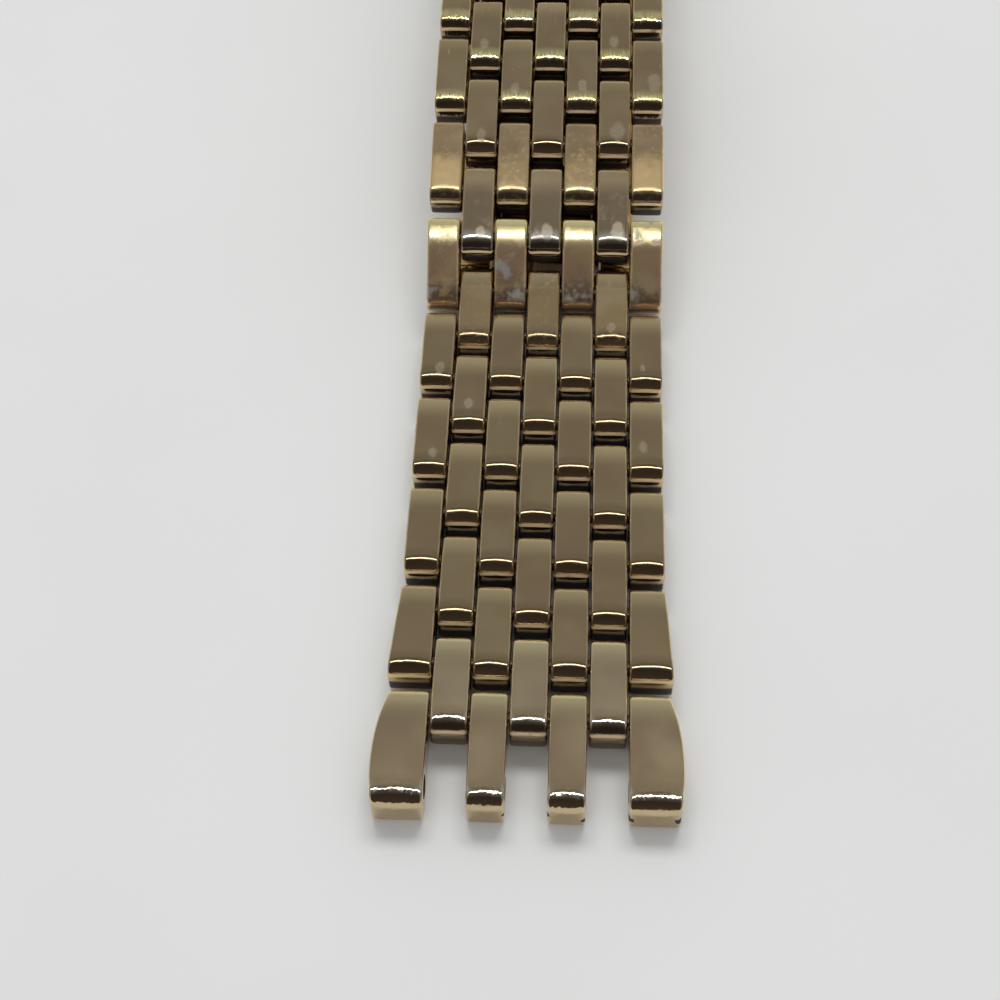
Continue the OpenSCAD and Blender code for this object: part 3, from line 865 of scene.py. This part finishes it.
@dataclass(frozen=True)
class LinkShape:
    """One kind of link, in millimetres, with its inner pin at the origin and its outer end towards +Y."""

    name: str
    outer: float  # from the inner pin to the outer end
    hole: float  # radius of the hole for the inner pin
    outer_hole: Pair  # place along Y and radius of the other hole
    # How much wider the right side gets, at the inner and outer end of a straight flare.
    flare_ends: Pair = (0.0, 0.0)
    # Side bulge, radius and place of the widest point of a curved side, or None.
    bulge: tuple[float, float, float] | None = None
    foot: float = 0.85  # rounding of the lower corner at the outer end
    brow: float = 0.5  # rounding of the upper corner at the inner end
    nose: float = 1.2  # rounding of the upper corner at the outer end, in the middle of the link
    nose_loss: float = 0.25  # how much less the nose is rounded at the link's sides
    nose_lead: float = 0.25  # how far before its rounding the nose starts to be marked
    nose_fade: float = 0.3  # over which length that mark fades in
    width: float = 2.42
    thickness: float = 2.9
    inner: float = -1.5  # from the inner pin to the inner end
    end_radius: float = 0.85  # rounding of the lower corner at the inner end
    edge_radius: float = 0.18  # rounding of the long edges
    crown: float = 0.035  # how much the faces fall off across the link
    lift: float = 0.045  # how much the top falls off towards both ends
    # How fast it falls off towards the inner end, from 1 mm past the pin, per square mm.
    far_fall: float = 0.045
    support: float = 0.03  # from a corner's rounding to the line of points that keeps it crisp

    # Where lines run along the flat, from the middle to its edge.
    STATION_SHARES = (0.0, 0.3, 0.55, 0.8)
    BEVEL_STEPS = 5
    ARC_STEPS = 9
    FLAT_STEPS = 9
    HOLE_SIDES = 40
    # Edges sharper than this keep a hard shading.
    CREASE = math.radians(32)

    def flare(self, y: np.ndarray) -> np.ndarray:
        """How far the right side stands out at each place along the link.

        Args:
            y: The places along the link.

        Returns:
            What is added to the side at each.
        """
        if self.bulge:
            out, radius, peak = self.bulge
            return out - radius + np.sqrt(radius**2 - (y - peak)**2)
        share = (y - self.inner)/(self.outer - self.inner)
        return self.flare_ends[0] + (self.flare_ends[1] - self.flare_ends[0])*share

    def edge_line(self, inset: float, end_radii: Pair) -> np.ndarray:
        """The upper half of the side view, from the inner end to the outer one.

        Args:
            inset: How far the line is drawn in.
            end_radii: Corner radii at the inner and outer end, before it is drawn in.

        Returns:
            Points (y, z).
        """
        half = self.thickness/2 - inset
        a, b = self.inner + inset, self.outer - inset
        left_r, right_r = (r - inset for r in end_radii)
        turns = np.linspace(0.0, math.pi/2, self.ARC_STEPS + 1)
        left = np.stack([a + left_r*(1 - np.cos(turns)), half - left_r*(1 - np.sin(turns))], -1)
        right = np.stack([b - right_r*(1 - np.cos(turns)), half - right_r*(1 - np.sin(turns))], -1)[::-1]
        flat = np.linspace(a + left_r, b - right_r, self.FLAT_STEPS + 1)[1:-1]
        flat = np.concatenate([[a + left_r + self.support], flat, [b - right_r - self.support]])
        return np.concatenate([left, np.stack([flat, np.full(len(flat), half)], -1), right])

    def outline(self, inset: float, side_share: float) -> np.ndarray:
        """The side view at one place across the link, with as many points above the middle as below.

        Args:
            inset: How far it is drawn in.
            side_share: From 0 in the middle of the link to 1 at its sides.

        Returns:
            Points (y, z).
        """
        upper = self.edge_line(inset, (self.brow, self.nose - self.nose_loss*side_share**2))
        lower = self.edge_line(inset, (self.end_radius, self.foot))*np.array([1.0, -1.0])
        middle, reach = (self.inner + self.outer)/2, (self.outer - self.inner)/2
        fall = self.lift*((upper[:, 0] - middle)/reach)**4
        fall += self.far_fall*np.clip(1 - upper[:, 0], 0.0, None)**2
        upper[:, 1] -= fall*np.clip(upper[:, 1]/(self.thickness/2), 0.0, 1.0)**2
        return np.concatenate([upper, lower[::-1]])

    def stations(self) -> list[Pair]:
        """Places across the link at which its outline is drawn.

        Returns:
            Each place, from left to right, and how far the outline is drawn in there.
        """
        half, e = self.width/2, self.edge_radius
        turns = [math.pi/2*i/self.BEVEL_STEPS for i in range(self.BEVEL_STEPS + 1)]
        right = [((half - e)*share, 0.0) for share in self.STATION_SHARES]
        right += [(half - e + e*math.sin(t), e*(1 - math.cos(t))) for t in turns]
        right = [(x, inset + self.crown*(x/half)**4) for x, inset in right]
        return [(-x, inset) for x, inset in reversed(right[1:])] + right

    def solid(self) -> Mesh:
        """Builds the closed link without its holes.

        Returns:
            The mesh, in millimetres.
        """
        half = self.width/2
        rings = [(x, self.outline(inset, min(abs(x)/half, 1.0))) for x, inset in self.stations()]
        count = len(rings[0][1])
        flat_half = half - self.edge_radius
        verts = []
        for x, ring in rings:
            share = min(max((x + flat_half)/(2*flat_half), 0.0), 1.0)
            xs = x + self.flare(ring[:, 0])*share
            verts += [(vx, y, z) for vx, (y, z) in zip(xs, ring)]
        faces = []
        for i in range(len(rings) - 1):
            for j in range(count):
                k = (j + 1) % count
                faces.append((i*count + j, i*count + k, (i + 1)*count + k, (i + 1)*count + j))
        last = (len(rings) - 1)*count
        for j in range(count//2 - 1):
            under = count - 1 - j
            faces.append((j, under, under - 1, j + 1))
            faces.append((last + j, last + j + 1, last + under - 1, last + under))
        mesh = bpy.data.meshes.new(self.name)
        mesh.from_pydata(verts, [], faces)
        with editing(mesh) as bm:
            bmesh.ops.recalc_face_normals(bm, faces=bm.faces)
        return mesh

    def bored(self) -> Object:
        """The link with its pin holes cut, in metres, with its shading marked.

        Returns:
            An object that holds the finished link.
        """
        body = linked(self.name, self.solid())
        drill = linked("drill", bpy.data.meshes.new("drills"))
        with editing(drill.data) as bm:
            for y, radius in ((0.0, self.hole), self.outer_hole):
                turn = Matrix.Translation((0.0, y, 0.0)) @ Matrix.Rotation(math.pi/2, 4, "Y")
                bmesh.ops.create_cone(bm, cap_ends=True, segments=self.HOLE_SIDES, radius1=radius,
                                      radius2=radius, depth=6*self.width, matrix=turn)
        cut = body.modifiers.new("holes", "BOOLEAN")
        cut.object, cut.operation, cut.solver = drill, "DIFFERENCE", "EXACT"
        mesh = baked_mesh(body)
        body.modifiers.clear()
        body.data = mesh
        bpy.data.objects.remove(drill)
        self.mark(mesh)
        mesh.transform(Matrix.Scale(MM, 4))
        return body

    def mark(self, mesh: Mesh) -> None:
        """Smooths the shading and writes the link's own coordinates and its edge and nose masks.

        Args:
            mesh: The bored link, in millimetres.
        """
        mesh.shade_smooth()
        mesh.set_sharp_from_angle(angle=self.CREASE)
        place = read_vectors(mesh)
        write_values(mesh, "link_uv", place)
        x, y, z = place.T
        half = self.width/2
        right = x - self.flare(np.clip(y, self.inner, self.outer))
        side = np.maximum(-x - half, np.where(x > 0, right - half, -half)) + self.edge_radius
        share = np.clip(side/self.edge_radius, 0.0, 1.0)
        high = np.abs(z) > self.thickness/2 - self.end_radius
        write_values(mesh, "rim", 4*share*(1 - share)*high)
        nose = np.clip((y - self.outer + self.nose + self.nose_lead)/self.nose_fade, 0.0, 1.0)
        write_values(mesh, "nose", nose*(z > 0))


def mirrored(obj: Object, name: str) -> Object:
    """A copy of a link, turned left for right with its faces still outwards.

    Args:
        obj: The link.
        name: The copy's name.

    Returns:
        The copy.
    """
    mesh = obj.data.copy()
    mesh.transform(Matrix.Scale(-1, 4, (1, 0, 0)))
    mesh.flip_normals()
    write_values(mesh, "link_uv", read_vectors(mesh, "link_uv")*np.array([-1.0, 1.0, 1.0]))
    return linked(name, mesh)


class RowTree:
    """The geometry node tree that lays the links of one row on its pins."""

    SOCKETS = {
        "Left Link": "NodeSocketObject", "Inner Link": "NodeSocketObject", "Right Link": "NodeSocketObject",
        "Count": "NodeSocketInt", "Pitch": "NodeSocketFloat", "Place": "NodeSocketVector",
        "Turn": "NodeSocketVector", "Play": "NodeSocketFloat", "Seed": "NodeSocketInt",
        "Finish": "NodeSocketMaterial",
    }
    TILT_SEED = 7.0

    def __init__(self) -> None:
        """Builds the tree."""
        self.tree = bpy.data.node_groups.new("Link row", "GeometryNodeTree")
        face = self.tree.interface
        face.new_socket("Geometry", in_out="INPUT", socket_type="NodeSocketGeometry")
        self.keys = {label: face.new_socket(label, in_out="INPUT", socket_type=kind).identifier
                     for label, kind in self.SOCKETS.items()}
        face.new_socket("Geometry", in_out="OUTPUT", socket_type="NodeSocketGeometry")
        g = Graph(self.tree)
        given = self.tree.nodes.new("NodeGroupInput").outputs
        result = self.tree.nodes.new("NodeGroupOutput").inputs

        last = g.minus(given["Count"], 1.0)
        step = g.vector(given["Pitch"])
        start = g.add("ShaderNodeVectorMath", {0: step, 3: g.times(last, -0.5)}, operation="SCALE").outputs[0]
        line = g.add("GeometryNodeMeshLine", {
            "Count": given["Count"], "Start Location": start, "Offset": step
        }, mode="OFFSET", count_mode="TOTAL").outputs[0]
        random = g.add("FunctionNodeRandomValue", {"Seed": given["Seed"]}, data_type="FLOAT").outputs
        tone = next(output for output in random if output.type == "VALUE" and output.enabled)
        line = g.add("GeometryNodeStoreNamedAttribute", {
            "Geometry": line, "Name": "link_tone", "Value": tone
        }, data_type="FLOAT", domain="POINT").outputs[0]
        play = given["Play"]
        tilt = g.add("FunctionNodeRandomValue", {
            "Min": g.vector(g.times(play, -1.0)), "Max": g.vector(play),
            "Seed": g.plus(given["Seed"], self.TILT_SEED)}, data_type="FLOAT_VECTOR").outputs[0]
        tilt = g.add("FunctionNodeEulerToRotation", {0: tilt}).outputs[0]

        index = self.tree.nodes.new("GeometryNodeInputIndex").outputs[0]
        is_first = g.math("LESS_THAN", index, 0.5)
        is_last = g.math("GREATER_THAN", index, g.minus(last, 0.5))
        is_inner = g.minus(1.0, g.plus(is_first, is_last))
        join = self.tree.nodes.new("GeometryNodeJoinGeometry")
        for label, chosen in (("Left Link", is_first), ("Inner Link", is_inner), ("Right Link", is_last)):
            link = g.add("GeometryNodeObjectInfo", {"Object": given[label]}).outputs["Geometry"]
            laid = g.add("GeometryNodeInstanceOnPoints", {
                "Points": line, "Selection": chosen, "Instance": link, "Rotation": tilt}).outputs[0]
            g.feed(join.inputs[0], laid)
        turn = g.add("FunctionNodeEulerToRotation", {0: given["Turn"]}).outputs[0]
        placed = g.add("GeometryNodeTransform", {"Geometry": join.outputs[0], "Translation": given["Place"],
                       "Rotation": turn}).outputs[0]
        real = g.add("GeometryNodeRealizeInstances", {"Geometry": placed}).outputs[0]
        done = g.add("GeometryNodeSetMaterial", {"Geometry": real, "Material": given["Finish"]}).outputs[0]
        g.feed(result[0], done)

    def build(self, name: str, values: dict[str, object]) -> Object:
        """Runs the tree once and keeps the result as a plain mesh.

        Args:
            name: Name of the new piece.
            values: A value for each input, by its label.

        Returns:
            The new piece, at the origin.
        """
        holder = linked(name, bpy.data.meshes.new(name))
        modifier = holder.modifiers.new("row", "NODES")
        modifier.node_group = self.tree
        for label, value in values.items():
            modifier[self.keys[label]] = value
        mesh = baked_mesh(holder)
        holder.modifiers.clear()
        old, holder.data = holder.data, mesh
        bpy.data.meshes.remove(old)
        mesh.name = name
        return holder


@dataclass
class LinkSet:
    """The kinds of link that the rows are laid from, and what is made of each, by kind and side."""

    narrow: LinkShape = LinkShape("narrow link", 5.56, 0.53, (4.06, 0.53))
    wide: LinkShape = LinkShape("wide link", 5.56, 0.51, (4.06, 0.51))
    flared: LinkShape = LinkShape("flared link", 5.56, 0.51, (4.06, 0.51), flare_ends=(0.0, 0.52))
    finger: LinkShape = LinkShape("case finger", 6.72, 0.51, (4.97, 0.8), foot=0.3)
    outer_finger: LinkShape = LinkShape("outer case finger", 6.72, 0.51, (4.97, 0.8), foot=0.3,
                                        bulge=(1.08, 17.0, 3.95))
    made: dict[str, dict[Side, Object]] = field(default_factory=dict)

    def make(self) -> None:
        """Builds each kind once, and its mirror image where it has one."""
        for kind in (self.narrow, self.wide):
            link = kind.bored()
            self.made[kind.name] = {side: link for side in Side}
        for inner, outer in ((self.wide, self.flared), (self.finger, self.outer_finger)):
            middle = self.made[inner.name][Side.INNER] if inner.name in self.made else inner.bored()
            right = outer.bored()
            self.made[outer.name] = {Side.INNER: middle, Side.RIGHT: right,
                                     Side.LEFT: mirrored(right, outer.name + " mirrored")}

    def kind(self, row: int) -> tuple[LinkShape, dict[Side, Object]]:
        """The shape and links of the row that lies at this place from the case end."""
        shape = {1: self.outer_finger, 3: self.flared}.get(row, self.wide if row % 2 else self.narrow)
        return shape, self.made[shape.name]

    def discard(self) -> None:
        """Removes the loose links once the rows are laid."""
        for obj in {obj for links in self.made.values() for obj in links.values()}:
            bpy.data.objects.remove(obj)


@dataclass
class StrapHalf:
    """One half of the strap: its rows of links on their cross pins."""

    half: Half
    tree: RowTree  # lays one row
    links: LinkSet  # the kinds of link
    finishes: dict[Wear, Material]  # a material for each kind of wear
    play: float = math.radians(0.25)  # how far a link may lean on its pins, in radians
    clean_side: float = 0.12  # how far in from the strap's outer sides there is no painted shade, in millimetres

    def pin(self, row: int) -> Vector:
        """The inner pin of the row at this place from the case end, in metres."""
        joint = next(j for j in frame["joints"] if j["child"] == f"{self.half.label}_row_{row}")
        return Vector(joint["pos_m"])

    def turn(self, row: int) -> tuple[float, float, float]:
        """The row's Euler angles, from lying towards +Y to its own lie.

        Args:
            row: The row's place from the case end.

        Returns:
            The angles, of which the first is the slope from its inner pin down to its outer one.
        """
        spin = math.pi if self.half is Half.NEAR else 0.0
        if row == 1:
            return (0.0, 0.0, spin)
        step = self.pin(row - 1) - self.pin(row)
        return (-math.atan2(-step.z, abs(step.y)), 0.0, spin)

    def lay(self) -> None:
        """Lays every row and puts it in place of its CAD node."""
        is_near = self.half is Half.NEAR
        for row in range(1, ROW_COUNT + 1):
            name = f"{self.half.label}_row_{row}"
            shape, kinds = self.links.kind(row)
            columns = WIDE_COLUMNS if row % 2 else NARROW_COLUMNS
            wear = ROW_WEAR.get(row, Wear.KEPT) if is_near else Wear.KEPT
            piece = self.tree.build(f"{name}_links", {
                **{f"{side.name.title()} Link": link for side, link in kinds.items()},
                "Count": len(columns), "Pitch": 2*COLUMN_PITCH, "Place": tuple(self.pin(row)),
                "Turn": self.turn(row), "Play": self.play, "Seed": row + HALF_SEED*(is_near + 1),
                "Finish": self.finishes[wear]})
            self.mark(piece.data, shape, row)
            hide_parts(name)
            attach(piece, name)
            LOG.info("%s: %d links, %s", piece.name, len(columns), wear.value)

    def mark(self, mesh: Mesh, shape: LinkShape, row: int) -> None:
        """Writes where dried drops lie on the links, and how much painted shade sits low between them.

        The case fingers and the strap's outer sides get none of that shade.

        Args:
            mesh: The row's links.
            shape: The kind of link that the row has.
            row: The row's place from the case end.
        """
        column = read_vectors(mesh)[:, 0]/COLUMN_PITCH
        drops = np.zeros((len(column), 3))
        for spot in SPOTS:
            if self.half is Half.NEAR and spot.row == row:
                along = shape.inner + spot.along*(shape.outer - shape.inner)
                drops[np.abs(column - spot.column) < 0.5] = (-spot.across*shape.width/2, along, spot.size)
        write_values(mesh, "link_spot", drops)
        column = np.round(column)
        x, y, _ = read_vectors(mesh, "link_uv").T
        outward = x*np.sign(column)*self.half.value - shape.flare(np.clip(y, shape.inner, shape.outer))
        is_outside = (np.abs(column) > WIDE_COLUMNS[-1] - 0.5) & (outward > shape.width/2 - self.clean_side)
        # Share of painted shade: none near the strap's outer sides.
        write_values(mesh, "grime", ROW_GAP_SHADE.get(row, 1.0)*~is_outside)


@dataclass
class Clasp:
    """The folding clasp: its plate, arms, cover, buttons, springs and pins; the plate, arms, cover and
    buttons get their sharp edges broken.
    """

    finish: Material  # plating of the clasp's plate, cover and buttons
    arms: Material  # plating of the arms with their half links
    steel: Material  # material of the springs
    pins: Material  # material of all pins
    edge: float = 0.07*MM  # width of the broken edges
    edge_steps: int = 2  # facets across each
    crease: float = math.radians(35)  # angle from which an edge is broken
    flat_angle: float = math.radians(0.3)  # angle below which faces count as one
    weld: float = 0.0001*MM  # distance below which points are merged
    spring_seat: float = 3.12*MM  # from the strap's middle to the inner end of each coil
    spring_keep: float = 0.81  # share of its length that a coil keeps when its button is pressed
    # The body that each reworked node rides on.
    softened: dict[str, str] = field(default_factory=lambda: {
        "clasp_plate": "clasp", "latch_cover": "clasp", "near_arm": "near_arm", "far_arm": "far_arm",
        "left_button": "left_button", "right_button": "right_button"})

    @staticmethod
    def finished(name: str, mesh: Mesh, finish: Material) -> Object:
        """Puts a reworked mesh in the scene with one finish and smooth shading.

        Args:
            name: The piece's name.
            mesh: Its mesh.
            finish: Its material.

        Returns:
            The piece.
        """
        mesh.materials.clear()
        mesh.materials.append(finish)
        mesh.shade_smooth()
        return linked(name, mesh)

    def soften(self, node: str, body: str) -> None:
        """Replaces a CAD node by a copy with bevelled edges.

        Args:
            node: The node's name.
            body: The body that it rides on.
        """
        mesh = frame["nodes"][node].data.copy()
        with editing(mesh) as bm:
            bmesh.ops.remove_doubles(bm, verts=bm.verts, dist=self.weld)
            bmesh.ops.dissolve_limit(bm, angle_limit=self.flat_angle, verts=bm.verts, edges=bm.edges)
        piece = self.finished(f"{node}_finished", mesh, self.arms if node.endswith("arm") else self.finish)
        bevel = piece.modifiers.new("edges", "BEVEL")
        bevel.width, bevel.segments, bevel.limit_method = self.edge, self.edge_steps, "ANGLE"
        bevel.angle_limit, bevel.harden_normals, bevel.use_clamp_overlap = self.crease, True, True
        done = baked_mesh(piece)
        piece.modifiers.clear()
        piece.data = done
        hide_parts(node)
        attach(piece, body)
        LOG.info("%s: edges broken", piece.name)

    def spring(self, side: Side) -> None:
        """Makes one coil a piece of its own that rides on the clasp.

        Args:
            side: The button's side.
        """
        name = side.name.lower()
        mesh = frame["nodes"]["button_springs"].data.copy()
        with editing(mesh) as bm:
            bmesh.ops.remove_doubles(bm, verts=bm.verts, dist=self.weld)
            others = [vert for vert in bm.verts if vert.co.x*side.value < 0]
            bmesh.ops.delete(bm, geom=others, context="VERTS")
        coil = self.finished(f"{name}_spring", mesh, self.steel)
        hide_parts("button_springs")
        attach(coil, "clasp")
        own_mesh(coil)
        LOG.info("%s: squashed by its button", coil.name)

    def dress(self) -> None:
        """Finishes every piece of the clasp and the strap's pins."""
        for node, body in self.softened.items():
            self.soften(node, body)
        for node, obj in frame["nodes"].items():
            if "pins" in node:
                for slot in obj.material_slots:
                    slot.material = self.pins
                LOG.info("%s: pin ends", node)
        for side in (Side.LEFT, Side.RIGHT):
            self.spring(side)


@dataclass
class Studio:
    """The floor, the lamps, the surroundings that the metal mirrors, and the camera."""

    # The camera's place, in millimetres.
    camera_place: tuple[float, float, float] = (2.785, -119.534, 103.506)
    pitch: float = 54.879  # how far it looks down, in degrees
    yaw: float = -4.309  # how far it looks to the right of +Y, in degrees
    roll: float = -2.343  # how far the picture is turned, in degrees
    focal: float = 1760.9  # focal length in pixels of a picture 1000 wide
    sensor: float = 36.0  # width of the camera's sensor, in millimetres
    # The nearest and farthest place that the camera sees, in metres.
    clip: Pair = (0.005, 20.0)
    floor_side: float = 6.0  # side of the floor, in metres
    floor_drop: float = 0.05*MM  # how far the floor lies under the strap, in metres
    floor_color: Color = (0.88, 0.89, 0.88)
    paper_tint: float = 0.985  # how bright the darker fibres of the floor are
    lamp_distance: float = 1.4  # how far both lamps hang from the strap, in metres
    lamp_lean: float = -5.0  # how far the overhead strip hangs beyond the strap, in degrees
    lamp_size: Pair = (1.0, 0.11)  # its length and width, in metres
    lamp_power: float = 2.5  # its power in watts
    fill_lean: float = 32.0  # how far the floor light hangs beyond the strap, in degrees
    fill_size: Pair = (0.9, 0.4)  # its length and width, in metres
    fill_power: float = 7.6  # its power in watts
    sky_level: float = 0.80  # light on dull surfaces from low down
    sky_top: float = 0.15  # light on dull surfaces from overhead
    sky_side: float = 0.45  # share of that light from the left and right
    # What the metal mirrors to the left and right on the photographer's side.
    aside_level: Color = (0.22, 0.22, 0.23)
    backdrop: Color = (0.72, 0.73, 0.72)  # what the camera sees past the floor
    fibre_scale: float = 40.0  # fibres of the floor to a metre
    paper_roughness: float = 0.9
    in_line: Pair = (0.70, 0.90)  # how nearly along the strap the room's ramp is mirrored
    overhead: Pair = (0.80, 0.97)  # how nearly upright the light from overhead comes
    sideways: Pair = (0.4, 0.85)  # how nearly sideways the light from the sides comes

    def floor(self) -> None:
        """A pale paper floor under the strap."""
        mesh = bpy.data.meshes.new("floor")
        s, z = self.floor_side/2, -self.floor_drop
        mesh.from_pydata([(-s, -s, z), (s, -s, z), (s, s, z), (-s, s, z)], [], [(0, 1, 2, 3)])
        floor = linked("floor", mesh)
        material = bpy.data.materials.new("Pale paper")
        material.use_nodes = True
        g = Graph(material.node_tree)
        fibres = g.noise(g.add("ShaderNodeTexCoord").outputs["Object"], self.fibre_scale, 4.0)
        darker = tuple(self.paper_tint*c for c in self.floor_color)
        shader = material.node_tree.nodes["Principled BSDF"].inputs
        g.feed(shader["Base Color"], g.blend(g.band(fibres, 0.35, 0.65), self.floor_color, darker))
        g.feed(shader["Roughness"], self.paper_roughness)
        mesh.materials.append(material)

    def lamp(self, name: str, lean: float, size: Pair, power: float, for_floor: bool) -> None:
        """Hangs an area lamp that looks at the strap.

        Args:
            name: The lamp's name.
            lean: How far it hangs beyond the strap, in degrees from overhead.
            size: Its length across and its width, in metres.
            power: Its power in watts.
            for_floor: Whether only dull surfaces take its light, or else only mirrors.
        """
        light = bpy.data.lights.new(name, "AREA")
        light.shape, light.size, light.size_y, light.energy = "RECTANGLE", *size, power
        lamp = linked(name, light)
        angle = math.radians(lean)
        place = Vector((0.0, math.sin(angle), math.cos(angle)))*self.lamp_distance
        lamp.matrix_world = Matrix.Translation(place) @ place.to_track_quat("Z", "Y").to_matrix().to_4x4()
        lamp.visible_diffuse = for_floor
        lamp.visible_glossy = not for_floor

    def surroundings(self) -> None:
        """The room as the metal mirrors it: pale beyond the strap, dark where the photographer stands."""
        world = bpy.data.worlds.new("room")
        bpy.context.scene.world = world
        world.use_nodes = True
        world.cycles.sampling_method = "NONE"
        world.node_tree.nodes.clear()
        g = Graph(world.node_tree)
        x, y, z = g.parts(g.add("ShaderNodeTexCoord").outputs["Generated"])
        rise = g.math("ARCTAN2", z, g.times(y, -1.0))
        ramp = g.add("ShaderNodeValToRGB", {0: g.math("DIVIDE", rise, math.pi)})
        stops = ramp.color_ramp.elements
        while len(stops) < len(ROOM_LEVELS):
            stops.new(0.5)
        for stop, (angle, level) in zip(stops, ROOM_LEVELS):
            stop.position = angle/180.0
            stop.color = (*level, 1.0)
        flat = g.math("SQRT", g.plus(g.times(x, x), g.times(y, y)))
        towards = g.math("DIVIDE", g.times(y, -1.0), flat)
        in_line = g.math("MAXIMUM", g.band(towards, *self.in_line), g.math("GREATER_THAN", y, 0.0))
        level = g.blend(in_line, self.aside_level, ramp.outputs["Color"])
        sky = g.times(g.band(z, *self.overhead, (self.sky_level, self.sky_top)),
                      g.band(g.math("ABSOLUTE", x), *self.sideways, (1.0, self.sky_side)))
        rays = g.add("ShaderNodeLightPath").outputs
        level = g.blend(rays["Is Diffuse Ray"], level, sky)
        level = g.blend(rays["Is Camera Ray"], level, self.backdrop)
        back = g.add("ShaderNodeBackground", {"Color": level, "Strength": 1.0})
        g.add("ShaderNodeOutputWorld", {"Surface": back.outputs[0]})

    def camera(self) -> None:
        """The camera, at the photograph's viewing angle."""
        pitch, yaw, roll = (math.radians(v) for v in (self.pitch, self.yaw, self.roll))
        ahead = Vector((math.sin(yaw)*math.cos(pitch), math.cos(yaw)*math.cos(pitch), -math.sin(pitch)))
        level = Vector((math.cos(yaw), -math.sin(yaw), 0.0))
        above = level.cross(ahead)
        right = level*math.cos(roll) + above*math.sin(roll)
        up = above*math.cos(roll) - level*math.sin(roll)
        data = bpy.data.cameras.new("camera")
        data.sensor_width = self.sensor
        data.lens = self.sensor*self.focal/IMAGE_SIDE
        data.clip_start, data.clip_end = self.clip
        camera = linked("camera", data)
        turn = Matrix((right, up, -ahead)).transposed().to_4x4()
        camera.matrix_world = Matrix.Translation(Vector(self.camera_place)*MM) @ turn
        bpy.context.scene.camera = camera

    def set_up(self) -> None:
        """Builds the whole studio: a narrow lamp draws the thin highlights, a soft one lights the floor."""
        self.camera()
        self.floor()
        self.lamp("overhead strip", self.lamp_lean, self.lamp_size, self.lamp_power, for_floor=False)
        self.lamp("floor light", self.fill_lean, self.fill_size, self.fill_power, for_floor=True)
        self.surroundings()
        view = bpy.context.scene.view_settings
        view.view_transform, view.look = "Standard", "None"


def main() -> None:
    """Builds the studio, then the two halves of the strap, then the clasp."""
    logging.basicConfig(level=logging.INFO, format="%(message)s")
    Studio().set_up()
    effects = Effects()
    finishes = {wear: finish.make(effects) for wear, finish in FINISHES.items()}
    links = LinkSet()
    links.make()
    tree = RowTree()
    for half in Half:
        StrapHalf(half, tree, links, finishes).lay()
    links.discard()
    clasp_finish = Plating("Clasp plating", roughness=0.2, rubbing=0.0, staining=0.25).make(effects)
    steel = Steel("Spring steel", (0.55, 0.55, 0.55), 0.3).make(effects)
    pins = Steel("Pin ends", (0.34, 0.27, 0.18), 0.45).make(effects)
    Clasp(clasp_finish, finishes[Wear.KEPT], steel, pins).dress()


if __name__ == "__main__":
    main()
